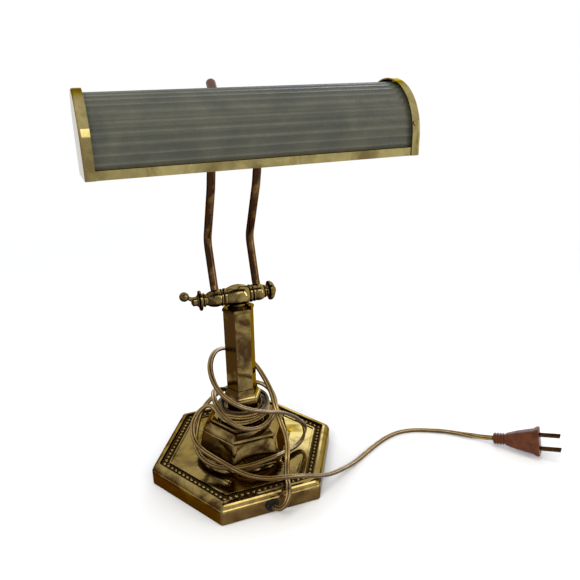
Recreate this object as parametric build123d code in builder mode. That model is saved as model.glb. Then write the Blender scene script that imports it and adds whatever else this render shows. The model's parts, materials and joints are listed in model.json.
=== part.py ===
"""Brass piano lamp: ribbed trough shade on two tilting arms over a hexagonal column and base.

Millimetres, +Z up. The origin is the middle of the base's underside, +X runs along the
shade, and the lamp faces -Y.
"""

import os
from math import acos, atan2, cos, degrees, pi, radians, sin, sqrt, tan

from build123d import *

os.makedirs("parts", exist_ok=True)

# ---- Driving dimensions -------------------------------------------------------------

fit = 0.02  # radial clearance of pieces of one body, one inside the other
running = 0.05  # radial clearance of a turning joint
gap = 0.3  # clearance between faces that move past each other

# Base
base_radius = 82.0  # across corners, halved
corner_rounding = 3.0
skirt_bottom = 0.8
skirt_height = 14.0
shoulder_depth = 6.3
shoulder_rise = 4.5
shoulder_steps = 5
shoulder_quirk = 0.7  # ledge between the skirt and the shoulder
base_wall = 2.2
channel_inset = 7.6  # from the skirt to the bead channel's outer wall
channel_width = 7.2
channel_drop = 2.4
bead_diameter = 3.2
beads_per_side = 15
lip_width = 1.4
lip_rise = 1.3
wall_taper = 0.4  # lean of the channel's and lip's walls
cove_foot_radius = 64.5
cove_head_radius = 41.6
cove_foot_height = 16.6
cove_steps = 8
plinth_height = 20.0  # where the block stands
felt_thickness = 1.6
plate_thickness = 1.2
well_radius = 20.0
weight_inset = 5.0
lead_slot = 8.0
lead_diameter = 3.0
grommet_height = 8.0
grommet_diameter = 9.0
grommet_flange = 11.2
grommet_proud = 2.0

# Plinth and column, corner radii
block_foot_radius = 40.8
block_radius = 36.6  # at the top of its tapered faces
face_top = 41.0
block_top = 47.5
bevel_radius = 30.2  # where the bevel ends
block_rounding = 4.0
collar_radius = 28.6
collar_top = 50.0
neck_radius = 13.0
neck_top = 66.0
foot_radius = 17.2
foot_top = 78.0
cavetto_steps = 5
column_radius = 12.8
column_wall = 1.4
column_cap_radius = 13.5
column_cap_thickness = 2.8
pipe_diameter = 9.6
pipe_bore = 7.0
pipe_bottom = 8.2
pipe_engagement = 4.0
nut_flats = 15.0
nut_height = 3.9
washer_diameter = 20.0
washer_thickness = 1.3

# Baluster, turned about an axis along X
pivot_height = 159.4
barrel_radius = 8.8
barrel_clearance = 0.5  # between the barrel and the column's cap
barrel_half = 11.8
barrel_face = 6.3
barrel_bead = 7.1  # beads at the barrel's ends
barrel_throat = 6.4
boss_radius = 6.6
boss_foot = 8.6
boss_foot_thickness = 1.2
knuckle_radius = 6.8
knuckle_face = 6.2
knuckle_bead = 6.9
knuckle_lip = 5.6
knuckle_throat = 4.6
left_knuckle_end = 27.6
right_knuckle_end = 22.0
bolt_diameter = 4.8
head_end = 32.0
head_radius = 7.8
head_face = 5.2
head_waist = 4.2
head_back = 6.0
head_tip = 2.2
disc_radius = 8.0
disc_hub = 5.0
lever_start = 33.2
lever_end = 37.2
lever_hub_radius = 3.7
stem_root_radius = 1.9
stem_tip_radius = 1.3
ball_radius = 3.8
ball_x = -42.6
ball_rise = 5.1  # above the pivot

# Arms
arm_spacing = 34.6
arm_diameter = 6.4
arm_bore = 4.6
arm_wire_diameter = 2.6
arm_seat = 4.3  # from the baluster's axis to the tube's end
arm_reach = 123.6  # from the pivot up to the tilt axis
arm_route = [(5.6, 0.064), (18.2, 0.341), (-4.4, 0.713), (-9.0, 0.83)]  # (y, share of the reach)
arm_bends = [12.0, 14.0, 22.0, 22.0]
tilt_y = -9.0
eye_radius = 4.6
eye_width = 8.4
eye_collar = 0.6  # wall of the collar round the arm's upper end
eye_collar_drop = 3.0
rod_diameter = 4.0
acorn_length = 6.0
acorn_flats = 7.0

# Shade, a trough along X
shade_y = -49.1
shade_rise = 3.9  # of the trough's axis above the tilt axis
shade_length = 213.0
shade_radius = 34.9  # outside of the end caps' rims
rim_width = 6.0
rim_rounding = 1.3
cap_sheet = 1.0
rim_wall = 0.8
panel_radius = 31.8  # at the bottom of the flutes
panel_inner_radius = 30.2
flute_depth = 0.6
flute_pitch = 8.8  # degrees
panel_start = 90.0  # ridge at the straight front's top, in degrees from the crest
panel_end = -25.0
front_drop = 12.9  # from the trough's axis to its front edge
back_drop = 20.0
strip_height = 5.4
strip_sheet = 1.0
strip_lip = 4.0
shell_sheet = 0.8
rivet_diameter = 3.6
rivet_rise = 8.0  # above the trough's axis
rivet_proud = 0.7
strap_rivet_x = 6.0
strap_rivet_radius = 1.5
strap_head_radius = 2.7
rail_reach = 5.0  # degrees that the rail reaches under each sheet
rail_sheet = 0.8

# Lamp holder and lamp
lamp_y = -49.0
lamp_drop = 0.4  # below the trough's axis
glass_radius = 15.0
glass_length = 116.0
glass_wall = 0.9
screw_cap_radius = 13.0
screw_cap_length = 24.0
holder_radius = 17.0
holder_wall = 2.0
holder_length = 36.0
holder_inset = 14.0  # from the shade's left end
contact_reach = 1.5  # how far the holder's contact is pressed towards the lamp's tip
contact_sheet = 0.7
hanger_top = 14.0  # above the lamp's axis
hanger_bottom = 9.0
hanger_width = 14.0
bracket_sheet = 1.5
lug_reach = 12.8
lug_thickness = 2.0

# Switch, square to the shade's back at 45 degrees
switch_x = -15.5
switch_lean = 45.0
switch_radius = 7.0
switch_length = 14.0
bushing_radius = 3.6
bushing_proud = 3.2
switch_nut_flats = 11.2
switch_nut_thickness = 1.8
spindle_seat = 4.0  # depth of the spindle's bore below the switch's top
knob_radius = 3.3
knob_tip = 49.9  # from the shade's axis
spindle_radius = 1.4

# Cord
cord_diameter = 4.4
winding_inner = 14.0
winding_outer = 24.0
winding_bottom = 50.3
winding_top = 65.2
plug_start = (218.7, -63.5, 6.6)
plug_heading = -49.4  # degrees from +X
plug_rise = 12.7
plug_roll = 9.2
plug_length = 39.5
flange_thickness = 4.5
plug_narrow = (9.6, 8.6)
plug_wide = (21.4, 12.0)
plug_flange = (25.0, 13.5)
plug_rounding = 3.0
blade_spacing = 12.7
blade_width = 6.4
blade_thickness = 1.5
blade_length = 17.0
blade_root = 8.0


# ---- Heights that follow from the pivot ---------------------------------------------

cap_top = pivot_height - barrel_radius - barrel_clearance
column_top = cap_top - column_cap_thickness
tilt_height = pivot_height + arm_reach
shade_height = tilt_height + shade_rise
front_edge = shade_height - front_drop
back_edge = shade_height - back_drop
lamp_height = shade_height - lamp_drop
holder_start = -shade_length / 2 + holder_inset


# ---- Shared forms -------------------------------------------------------------------

def hexagon_stack(rings, rounding=corner_rounding, mode=Mode.ADD):
    """Six-sided moulding through rings of (corner radius, height), joined by flat faces."""
    sections = []
    for ring_radius, height in rings:
        with BuildSketch(Plane.XY.offset(height)) as ring:
            RegularPolygon(ring_radius, 6)
            fillet(vertices(), rounding)
        sections.append(ring.sketch)
    loft(sections, ruled=True, mode=mode)


def pipe_hole(bottom, top):
    """Clearance hole for the threaded pipe."""
    with BuildSketch(Plane.XY.offset(bottom)) as hole:
        Circle(pipe_diameter / 2 + fit)
    extrude(hole.sketch, amount=top - bottom, mode=Mode.SUBTRACT)


def finish(piece, label):
    piece.part.label = label
    export_step(piece.part, "parts/" + label + ".step")


baluster_plane = Plane((0, 0, pivot_height), x_dir=(1, 0, 0), z_dir=(0, -1, 0))
baluster_axis = Axis((0, 0, pivot_height), (1, 0, 0))
lamp_plane = Plane((0, lamp_y, lamp_height), x_dir=(1, 0, 0), z_dir=(0, -1, 0))
lamp_axis = Axis((0, lamp_y, lamp_height), (1, 0, 0))


def across_x(x, y, z):
    """Plane square to X, its own x along Y."""
    return Plane((x, y, z), x_dir=(0, 1, 0), z_dir=(1, 0, 0))


def cross_bore(axis_y, axis_height, radius, start, end):
    """Round hole along X."""
    with BuildSketch(across_x(start, axis_y, axis_height)) as hole:
        Circle(radius)
    extrude(hole.sketch, amount=end - start, mode=Mode.SUBTRACT)


# ---- Base ---------------------------------------------------------------------------

face_angle = radians(30)
base_apothem = base_radius * cos(face_angle)
ridge_radius = base_radius - shoulder_depth
ridge_height = skirt_height + shoulder_rise
channel_outer = base_radius - channel_inset
channel_inner = channel_outer - channel_width
channel_floor = ridge_height - channel_drop
bead_ring = (channel_outer + channel_inner) / 2
cavity_radius = base_radius - base_wall / cos(face_angle)
cavity_top = channel_floor - base_wall

shoulder = []
for step in range(0, shoulder_steps + 1):
    turn = radians(90 * step / shoulder_steps)
    shoulder.append(
        (
            ridge_radius + (shoulder_depth - shoulder_quirk) * cos(turn),
            skirt_height + shoulder_rise * sin(turn),
        )
    )

cove = []
for step in range(0, cove_steps + 1):
    turn = radians(90 * step / cove_steps)
    cove.append(
        (
            cove_foot_radius - (cove_foot_radius - cove_head_radius) * sin(turn),
            cove_foot_height + (plinth_height - cove_foot_height) * (1 - cos(turn)),
        )
    )

with BuildPart() as base_shell:
    hexagon_stack([(base_radius, skirt_bottom), (base_radius, skirt_height - shoulder_quirk)] + shoulder)
    hexagon_stack(
        [(channel_outer, channel_floor), (channel_outer + 2 * wall_taper, ridge_height + 0.1)],
        mode=Mode.SUBTRACT,
    )
    hexagon_stack(
        [(channel_inner, channel_floor - 0.1), (channel_inner - wall_taper, channel_floor + lip_rise)]
    )
    hexagon_stack(
        [
            (channel_inner - lip_width - wall_taper, channel_floor + 0.4),
            (channel_inner - lip_width, channel_floor + lip_rise + 0.1),
        ],
        mode=Mode.SUBTRACT,
    )
    hexagon_stack([(cove_foot_radius + 1, channel_floor)] + cove)
    # Beads stand on the channel's floor along each side, corner to corner
    for side in range(6):
        bearing = radians(60 * side)
        start = Vector(bead_ring * cos(bearing), bead_ring * sin(bearing), channel_floor)
        across = Vector(
            bead_ring * cos(bearing + pi / 3), bead_ring * sin(bearing + pi / 3), channel_floor
        )
        for bead in range(beads_per_side):
            with Locations(start + (across - start) * (bead / beads_per_side)):
                Sphere(bead_diameter / 2)
    # Open underneath
    hexagon_stack(
        [
            (cavity_radius, skirt_bottom),
            (cavity_radius, cavity_top - 1),
            (cavity_radius - 1, cavity_top),
        ],
        mode=Mode.SUBTRACT,
    )
    pipe_hole(cavity_top - 1, plinth_height + 1)
    with BuildSketch(Plane((0, -base_apothem - 1, grommet_height), x_dir=(1, 0, 0), z_dir=(0, 1, 0))):
        Circle(grommet_diameter / 2)
    extrude(amount=2 * base_wall, mode=Mode.SUBTRACT)
finish(base_shell, "base_shell")

plate_top = felt_thickness + plate_thickness
plate_radius = cavity_radius - gap

with BuildPart() as felt_pad:
    with BuildSketch():
        RegularPolygon(plate_radius, 6)
        fillet(vertices(), corner_rounding)
    extrude(amount=felt_thickness)
finish(felt_pad, "felt_pad")

with BuildPart() as bottom_plate:
    with BuildSketch(Plane.XY.offset(felt_thickness)):
        RegularPolygon(plate_radius, 6)
        fillet(vertices(), corner_rounding)
    extrude(amount=plate_thickness)
finish(bottom_plate, "bottom_plate")

weight_radius = cavity_radius - weight_inset

with BuildPart() as base_weight:
    hexagon_stack([(weight_radius, plate_top), (weight_radius, cavity_top)])
    with BuildSketch(Plane.XY.offset(plate_top)):
        Circle(well_radius)
    extrude(amount=cavity_top - plate_top, mode=Mode.SUBTRACT)
    with BuildSketch(Plane.XY.offset(plate_top)):
        with Locations((0, -weight_radius / 2)):
            Rectangle(lead_slot, weight_radius)
    extrude(amount=cavity_top - plate_top, mode=Mode.SUBTRACT)
finish(base_weight, "base_weight")

grommet_face = -base_apothem - grommet_proud
grommet_inner = -base_apothem + base_wall + 2.2

with BuildPart() as cord_grommet:
    with BuildSketch(Plane((0, 0, grommet_height), x_dir=(1, 0, 0), z_dir=(0, 0, 1))):
        with BuildLine():
            Polyline(
                (cord_diameter / 2, grommet_face),
                (grommet_flange / 2 - 1.2, grommet_face),
                (grommet_flange / 2, grommet_face + 1.2),
                (grommet_flange / 2, -base_apothem),
                (grommet_diameter / 2, -base_apothem),
                (grommet_diameter / 2, -base_apothem + base_wall),
                (grommet_diameter / 2 + 0.4, -base_apothem + base_wall),
                (grommet_diameter / 2, grommet_inner),
                (cord_diameter / 2, grommet_inner),
                close=True,
            )
        make_face()
    revolve(axis=Axis((0, 0, grommet_height), (0, 1, 0)))
finish(cord_grommet, "cord_grommet")

# ---- Plinth and column --------------------------------------------------------------

with BuildPart() as plinth_block:
    hexagon_stack(
        [
            (block_foot_radius, plinth_height),
            (block_radius, face_top),
            (block_radius - 0.9, face_top + 0.5),
            (block_radius - 0.9, face_top + 1.2),
            (block_radius - 0.4, face_top + 1.8),
            (block_radius - 1.4, face_top + 3.2),
            (block_radius - 1.8, face_top + 3.4),
            (bevel_radius + 0.8, block_top - 0.5),
            (bevel_radius, block_top),
        ],
        rounding=block_rounding,
    )
    pipe_hole(plinth_height, block_top)
finish(plinth_block, "plinth_block")

with BuildPart() as plinth_collar:
    hexagon_stack(
        [
            (collar_radius - 0.4, block_top),
            (collar_radius, block_top + 0.4),
            (collar_radius, collar_top - 0.8),
            (collar_radius - 1.0, collar_top),
        ],
        rounding=2.0,
    )
    pipe_hole(block_top, collar_top)
finish(plinth_collar, "plinth_collar")

with BuildPart() as column_neck:
    with BuildSketch(Plane.XZ):
        with BuildLine():
            Polyline(
                (pipe_diameter / 2 + fit, collar_top),
                (neck_radius + 0.8, collar_top),
                (neck_radius + 0.8, collar_top + 1.6),
                (neck_radius, collar_top + 2.4),
                (neck_radius, neck_top - 2.6),
                (neck_radius + 0.8, neck_top - 1.6),
                (neck_radius + 0.8, neck_top),
                (pipe_diameter / 2 + fit, neck_top),
                close=True,
            )
        make_face()
    revolve(axis=Axis.Z)
finish(column_neck, "column_neck")

cavetto = []
cavetto_radius = foot_radius - 0.9
cavetto_bottom = neck_top + 4.6
cavetto_top = foot_top - 1.6
lip_radius = column_radius + 0.7
for step in range(0, cavetto_steps + 1):
    turn = radians(90 * step / cavetto_steps)
    cavetto.append(
        (
            cavetto_radius - (cavetto_radius - lip_radius) * sin(turn),
            cavetto_bottom + (cavetto_top - cavetto_bottom) * (1 - cos(turn)),
        )
    )

with BuildPart() as column_foot:
    hexagon_stack(
        [
            (foot_radius - 0.6, neck_top),
            (foot_radius, neck_top + 0.6),
            (foot_radius, neck_top + 3.4),
            (foot_radius - 0.8, neck_top + 4.0),
        ]
        + cavetto
        + [(lip_radius, foot_top)],
        rounding=0.8,
    )
    pipe_hole(neck_top, foot_top)
finish(column_foot, "column_foot")

with BuildPart() as column_tube:
    with BuildSketch(Plane.XY.offset(foot_top)):
        RegularPolygon(column_radius, 6)
        fillet(vertices(), 0.6)
        RegularPolygon(column_radius - column_wall / cos(face_angle), 6, mode=Mode.SUBTRACT)
    extrude(amount=column_top - foot_top)
finish(column_tube, "column_tube")

with BuildPart() as column_cap:
    hexagon_stack(
        [
            (column_cap_radius - 0.6, column_top),
            (column_cap_radius, column_top + 0.5),
            (column_cap_radius, cap_top - 0.7),
            (column_cap_radius - 0.7, cap_top),
        ],
        rounding=0.6,
    )
    pipe_hole(column_top, cap_top)
finish(column_cap, "column_cap")

pipe_top = cap_top + pipe_engagement

with BuildPart() as threaded_pipe:
    with BuildSketch(Plane.XY.offset(pipe_bottom)):
        Circle(pipe_diameter / 2)
        Circle(pipe_bore / 2, mode=Mode.SUBTRACT)
    extrude(amount=pipe_top - pipe_bottom)
finish(threaded_pipe, "threaded_pipe")

with BuildPart() as pipe_washer:
    with BuildSketch(Plane.XY.offset(cavity_top - washer_thickness)):
        Circle(washer_diameter / 2)
        Circle(pipe_diameter / 2 + fit, mode=Mode.SUBTRACT)
    extrude(amount=washer_thickness)
finish(pipe_washer, "pipe_washer")

with BuildPart() as pipe_nut:
    with BuildSketch(Plane.XY.offset(cavity_top - washer_thickness - nut_height)):
        RegularPolygon(nut_flats / 2, 6, major_radius=False)
        Circle(pipe_diameter / 2 + fit, mode=Mode.SUBTRACT)
    extrude(amount=nut_height)
finish(pipe_nut, "pipe_nut")

# Inner lead: from the grommet through the weight's slot, then up the pipe
lead_start = grommet_face + 0.5
lead_low = plate_top + 2.0
lead_top = pipe_top - 1.0

with BuildPart() as supply_lead:
    with BuildLine():
        FilletPolyline(
            (0, lead_start, grommet_height),
            (0, -well_radius - 18, grommet_height),
            (0, -well_radius - 2, lead_low),
            (0, 0, lead_low),
            (0, 0, lead_top),
            radius=[14, 14, 6],
        )
    with BuildSketch(Plane((0, lead_start, grommet_height), z_dir=(0, 1, 0))):
        Circle(lead_diameter / 2)
    sweep()
finish(supply_lead, "supply_lead")

# ---- Baluster -----------------------------------------------------------------------

bolt_radius = bolt_diameter / 2

with BuildPart() as pivot_body:
    with BuildSketch(baluster_plane):
        with BuildLine():
            Polyline(
                (-barrel_half + 2.8, barrel_throat),
                (-barrel_half + 2.2, barrel_bead),
                (-barrel_half + 0.8, barrel_bead),
                (-barrel_half, barrel_face),
                (-barrel_half, 0),
                (barrel_half, 0),
                (barrel_half, barrel_face),
                (barrel_half - 0.8, barrel_bead),
                (barrel_half - 2.2, barrel_bead),
                (barrel_half - 2.8, barrel_throat),
            )
            ThreePointArc(
                (barrel_half - 2.8, barrel_throat),
                (0, barrel_radius),
                (-barrel_half + 2.8, barrel_throat),
            )
        make_face()
    revolve(axis=baluster_axis)
    with BuildSketch(Plane.XY.offset(cap_top)):
        Circle(boss_radius)
    extrude(amount=pivot_height - cap_top)
    with BuildSketch(Plane.XY.offset(cap_top)):
        Circle(boss_foot)
    extrude(amount=boss_foot_thickness)
    pipe_hole(cap_top, pipe_top)
    cross_bore(0, pivot_height, bolt_radius + fit, -barrel_half, barrel_half)
finish(pivot_body, "pivot_body")

head_start = right_knuckle_end + gap
disc_start = left_knuckle_end + gap
disc_end = lever_start - gap
bolt_end = lever_end - 0.9

with BuildPart() as pivot_bolt:
    with BuildSketch(baluster_plane):
        with BuildLine():
            Polyline(
                (-bolt_end, 0),
                (-bolt_end, bolt_radius),
                (head_start, bolt_radius),
                (head_start, head_face),
                (head_start + 0.8, head_face),
            )
            ThreePointArc(
                (head_start + 0.8, head_face),
                (head_start + 2.0, head_waist),
                (head_start + 3.4, head_back),
            )
            Line((head_start + 3.4, head_back), (head_start + 3.9, head_radius))
            Line((head_start + 3.9, head_radius), (head_start + 5.6, head_radius))
            ThreePointArc(
                (head_start + 5.6, head_radius),
                (head_start + 7.6, head_back),
                (head_end - 1.0, head_tip + 0.6),
            )
            Polyline(
                (head_end - 1.0, head_tip + 0.6), (head_end, head_tip), (head_end, 0), (-bolt_end, 0)
            )
        make_face()
    revolve(axis=baluster_axis)
finish(pivot_bolt, "pivot_bolt")

knuckle_start = barrel_half + gap
arm_x = arm_spacing / 2

# The tube leaves each knuckle along its first run, square to the baluster
arm_lean = atan2(arm_route[0][0], arm_route[0][1] * arm_reach)
arm_start = (arm_seat * sin(arm_lean), pivot_height + arm_seat * cos(arm_lean))


def arm_line(x, end_height):
    """Centreline of an arm: out of the knuckle, through its bends, up to the eye."""
    points = [(x, *arm_start)]
    for y, share in arm_route:
        points.append((x, y, pivot_height + share * arm_reach))
    points.append((x, tilt_y, end_height))
    FilletPolyline(*points, radius=arm_bends)


def arm_plane(x):
    """Plane across an arm's lower end."""
    return Plane((x, *arm_start), x_dir=(1, 0, 0), z_dir=(0, sin(arm_lean), cos(arm_lean)))


def arm_socket(x):
    """Hole in a knuckle that takes the arm's end."""
    with BuildSketch(arm_plane(x)) as socket:
        Circle(arm_diameter / 2 + fit)
    extrude(socket.sketch, amount=knuckle_radius * 2, mode=Mode.SUBTRACT)


with BuildPart() as left_knuckle:
    with BuildSketch(baluster_plane):
        with BuildLine():
            Polyline(
                (-knuckle_start, 0),
                (-knuckle_start, knuckle_face),
                (-knuckle_start - 0.7, knuckle_bead),
                (-knuckle_start - 1.5, knuckle_bead),
                (-knuckle_start - 2.0, knuckle_face),
            )
            ThreePointArc(
                (-knuckle_start - 2.0, knuckle_face),
                (-arm_x, knuckle_radius),
                (-left_knuckle_end + 3.2, knuckle_throat + 0.4),
            )
            ThreePointArc(
                (-left_knuckle_end + 3.2, knuckle_throat + 0.4),
                (-left_knuckle_end + 1.8, knuckle_throat),
                (-left_knuckle_end + 0.8, knuckle_lip),
            )
            Polyline(
                (-left_knuckle_end + 0.8, knuckle_lip),
                (-left_knuckle_end, knuckle_lip),
                (-left_knuckle_end, 0),
            )
            Line((-left_knuckle_end, 0), (-knuckle_start, 0))
        make_face()
    revolve(axis=baluster_axis)
    cross_bore(0, pivot_height, bolt_radius + running, -left_knuckle_end, -knuckle_start)
    arm_socket(-arm_x)
finish(left_knuckle, "left_knuckle")

with BuildPart() as right_knuckle:
    with BuildSketch(baluster_plane):
        with BuildLine():
            Polyline(
                (knuckle_start, 0),
                (knuckle_start, knuckle_face),
                (knuckle_start + 0.7, knuckle_bead),
                (knuckle_start + 1.5, knuckle_bead),
                (knuckle_start + 2.0, knuckle_face),
            )
            ThreePointArc(
                (knuckle_start + 2.0, knuckle_face),
                (arm_x, knuckle_radius),
                (right_knuckle_end - 0.6, knuckle_lip),
            )
            Polyline(
                (right_knuckle_end - 0.6, knuckle_lip),
                (right_knuckle_end, knuckle_lip - 0.6),
                (right_knuckle_end, 0),
            )
            Line((right_knuckle_end, 0), (knuckle_start, 0))
        make_face()
    revolve(axis=baluster_axis)
    cross_bore(0, pivot_height, bolt_radius + running, knuckle_start, right_knuckle_end)
    arm_socket(arm_x)
finish(right_knuckle, "right_knuckle")

with BuildPart() as clamp_disc:
    with BuildSketch(baluster_plane):
        with BuildLine():
            Polyline(
                (-disc_start, 0),
                (-disc_start, disc_hub - 0.4),
                (-disc_start - 1.0, disc_hub),
                (-disc_start - 1.7, disc_radius),
                (-disc_start - 3.1, disc_radius),
                (-disc_start - 3.9, disc_hub),
                (-disc_end, disc_hub - 0.8),
                (-disc_end, 0),
                close=True,
            )
        make_face()
    revolve(axis=baluster_axis)
    cross_bore(0, pivot_height, bolt_radius + running, -disc_end, -disc_start)
finish(clamp_disc, "clamp_disc")

# ---- Clamp lever --------------------------------------------------------------------

stem_start = Vector(-lever_end + 1.8, 0, pivot_height + 1.4)
stem_end = Vector(ball_x, 0, pivot_height + ball_rise)
stem_plane = Plane(stem_start, z_dir=stem_end - stem_start)
stem_length = (stem_end - stem_start).length

with BuildPart() as clamp_lever:
    with BuildSketch(baluster_plane):
        with BuildLine():
            Polyline(
                (-lever_start, 0),
                (-lever_start, lever_hub_radius),
                (-lever_end + 1.2, lever_hub_radius),
            )
            ThreePointArc(
                (-lever_end + 1.2, lever_hub_radius), (-lever_end + 0.2, 2.4), (-lever_end, 0)
            )
            Line((-lever_end, 0), (-lever_start, 0))
        make_face()
    revolve(axis=baluster_axis)
    with BuildSketch(stem_plane):
        Circle(stem_root_radius)
    with BuildSketch(stem_plane.offset(stem_length)):
        Circle(stem_tip_radius)
    loft()
    cross_bore(0, pivot_height, bolt_radius + running, -bolt_end - 0.2, -lever_start)
finish(clamp_lever, "clamp_lever")

with BuildPart() as lever_ball:
    with Locations(stem_end):
        Sphere(ball_radius)
    with BuildSketch(stem_plane):
        Circle(stem_root_radius + fit)
    with BuildSketch(stem_plane.offset(stem_length)):
        Circle(stem_tip_radius + fit)
    loft(mode=Mode.SUBTRACT)
finish(lever_ball, "lever_ball")

# ---- Arms ---------------------------------------------------------------------------

rod_radius = rod_diameter / 2
arm_end = tilt_height - rod_radius - 0.6

for side, x in (("left", -arm_x), ("right", arm_x)):
    with BuildPart() as arm:
        with BuildLine():
            arm_line(x, arm_end)
        with BuildSketch(arm_plane(x)):
            Circle(arm_diameter / 2)
            Circle(arm_bore / 2, mode=Mode.SUBTRACT)
        sweep()
    finish(arm, side + "_arm")

    with BuildPart() as eye:
        with BuildSketch(across_x(x, tilt_y, tilt_height)):
            Circle(eye_radius)
        extrude(amount=eye_width / 2, both=True)
        with BuildSketch(Plane((x, tilt_y, tilt_height - eye_radius - eye_collar_drop))):
            Circle(arm_diameter / 2 + eye_collar)
        extrude(amount=eye_radius)
        with BuildSketch(Plane((x, tilt_y, arm_end), z_dir=(0, 0, -1))):
            Circle(arm_diameter / 2 + fit)
        extrude(amount=eye_radius * 2, mode=Mode.SUBTRACT)
        cross_bore(tilt_y, tilt_height, rod_radius + fit, x - eye_width / 2, x + eye_width / 2)
    finish(eye, side + "_eye")

with BuildPart() as arm_wire:
    with BuildLine():
        arm_line(-arm_x, arm_end - 2.0)
    with BuildSketch(arm_plane(-arm_x)):
        Circle(arm_wire_diameter / 2)
    sweep()
finish(arm_wire, "arm_wire")

rod_half = arm_x + eye_width / 2 + acorn_length - 1.4

with BuildPart() as cross_rod:
    with BuildSketch(across_x(0, tilt_y, tilt_height)):
        Circle(rod_radius)
    extrude(amount=rod_half, both=True)
finish(cross_rod, "cross_rod")

with BuildPart() as rod_nuts:
    for direction in (-1, 1):
        nut_face = direction * (arm_x + eye_width / 2)
        nut_plane = Plane((nut_face, tilt_y, tilt_height), x_dir=(0, 1, 0), z_dir=(direction, 0, 0))
        with BuildSketch(nut_plane):
            RegularPolygon(acorn_flats / 2, 6, major_radius=False)
        extrude(amount=acorn_length / 2)
        with BuildSketch(nut_plane.offset(acorn_length / 2)):
            Circle(acorn_flats / 2 - 0.2)
        extrude(amount=acorn_length / 2)
        nut_tip = faces().filter_by(GeomType.PLANE).sort_by(Axis.X)[0 if direction < 0 else -1]
        fillet(nut_tip.edges(), 1.8)
        with BuildSketch(nut_plane):
            Circle(rod_radius + fit)
        extrude(amount=acorn_length - 1.2, mode=Mode.SUBTRACT)
finish(rod_nuts, "rod_nuts")

# ---- Shade --------------------------------------------------------------------------

half_length = shade_length / 2
rim_start = half_length - rim_width
panel_half = half_length - cap_sheet - gap
rim_inner = shade_radius - rim_wall
below_rim = back_edge - 10


def around(radius, angle):
    """Point on the shade's section, at an angle in degrees from the crest towards the front."""
    return (shade_y - radius * sin(radians(angle)), shade_height + radius * cos(radians(angle)))


def shade_arc(radius, start_angle, end_angle):
    ThreePointArc(
        around(radius, start_angle),
        around(radius, (start_angle + end_angle) / 2),
        around(radius, end_angle),
    )


strip_top = front_edge + strip_height
ridge_line = panel_radius + flute_depth
flute_count = round((panel_start - panel_end) / flute_pitch)
flute_angle = (panel_start - panel_end) / flute_count
flute_width = 2 * ridge_line * sin(radians(flute_angle / 2))
front_ridge = shade_y - ridge_line

with BuildPart() as fluted_panel:
    with BuildSketch(Plane.YZ):
        with BuildLine():
            for flute in range(flute_count):
                edge_angle = panel_start - flute * flute_angle
                ThreePointArc(
                    around(ridge_line, edge_angle),
                    around(panel_radius, edge_angle - flute_angle / 2),
                    around(ridge_line, edge_angle - flute_angle),
                )
            Line(around(ridge_line, panel_end), around(panel_inner_radius, panel_end))
            shade_arc(panel_inner_radius, panel_end, panel_start)
            Polyline(
                around(panel_inner_radius, panel_start),
                (shade_y - panel_inner_radius, strip_top),
                (shade_y - panel_radius, strip_top),
                (front_ridge, shade_height - flute_width),
            )
            ThreePointArc(
                (front_ridge, shade_height - flute_width),
                (shade_y - panel_radius, shade_height - flute_width / 2),
                around(ridge_line, panel_start),
            )
        make_face()
    extrude(amount=panel_half, both=True)
finish(fluted_panel, "fluted_panel")

strip_face = shade_y - rim_inner + fit

with BuildPart() as front_strip:
    with BuildSketch(Plane.YZ):
        with BuildLine():
            Polyline(
                (strip_face, front_edge),
                (strip_face, strip_top),
                (shade_y - panel_inner_radius, strip_top),
                (shade_y - panel_inner_radius, strip_top - strip_sheet),
                (strip_face + strip_sheet, strip_top - strip_sheet),
                (strip_face + strip_sheet, front_edge + strip_sheet),
                (strip_face + strip_lip, front_edge + strip_sheet),
                (strip_face + strip_lip, front_edge),
                close=True,
            )
        make_face()
    extrude(amount=panel_half, both=True)
finish(front_strip, "front_strip")

shell_outer = rim_inner - fit
shell_inner = shell_outer - shell_sheet
shell_end = panel_end - 0.5
strap_rivet_height = back_edge + 6.0


def strap_rivet_plane(y):
    """Plane square to the strap's rivets."""
    return Plane((0, y, strap_rivet_height), x_dir=(1, 0, 0), z_dir=(0, 1, 0))


switch_way = (0, sin(radians(switch_lean)), cos(radians(switch_lean)))


def switch_plane(radius):
    """Plane square to the switch's axis, at a distance from the shade's axis."""
    center = (switch_x, shade_y + radius * switch_way[1], shade_height + radius * switch_way[2])
    return Plane(center, x_dir=(1, 0, 0), z_dir=switch_way)


with BuildPart() as back_shell:
    with BuildSketch(Plane.YZ):
        with BuildLine():
            shade_arc(shell_outer, shell_end, -90)
            Polyline(
                around(shell_outer, -90),
                (shade_y + shell_outer, back_edge),
                (shade_y + shell_inner, back_edge),
                around(shell_inner, -90),
            )
            shade_arc(shell_inner, -90, shell_end)
            Line(around(shell_inner, shell_end), around(shell_outer, shell_end))
        make_face()
    extrude(amount=panel_half, both=True)
    with BuildSketch(switch_plane(shell_inner - 2)):
        Circle(bushing_radius + fit)
    extrude(amount=6, mode=Mode.SUBTRACT)
    with BuildSketch(strap_rivet_plane(shade_y)):
        with Locations((-strap_rivet_x, 0), (strap_rivet_x, 0)):
            Circle(strap_rivet_radius + fit)
    extrude(amount=shade_radius, mode=Mode.SUBTRACT)
finish(back_shell, "back_shell")

rail_inner = panel_inner_radius - rail_sheet
rail_low = shell_end - rail_reach
rail_high = panel_end + rail_reach

with BuildPart() as panel_rail:
    with BuildSketch(Plane.YZ):
        with BuildLine():
            shade_arc(shell_inner, rail_low, shell_end)
            Polyline(
                around(shell_inner, shell_end),
                around(panel_inner_radius, shell_end),
                around(panel_inner_radius, rail_high),
                around(rail_inner, rail_high),
            )
            shade_arc(rail_inner, rail_high, rail_low)
            Line(around(rail_inner, rail_low), around(shell_inner, rail_low))
        make_face()
    extrude(amount=panel_half, both=True)
finish(panel_rail, "panel_rail")

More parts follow.
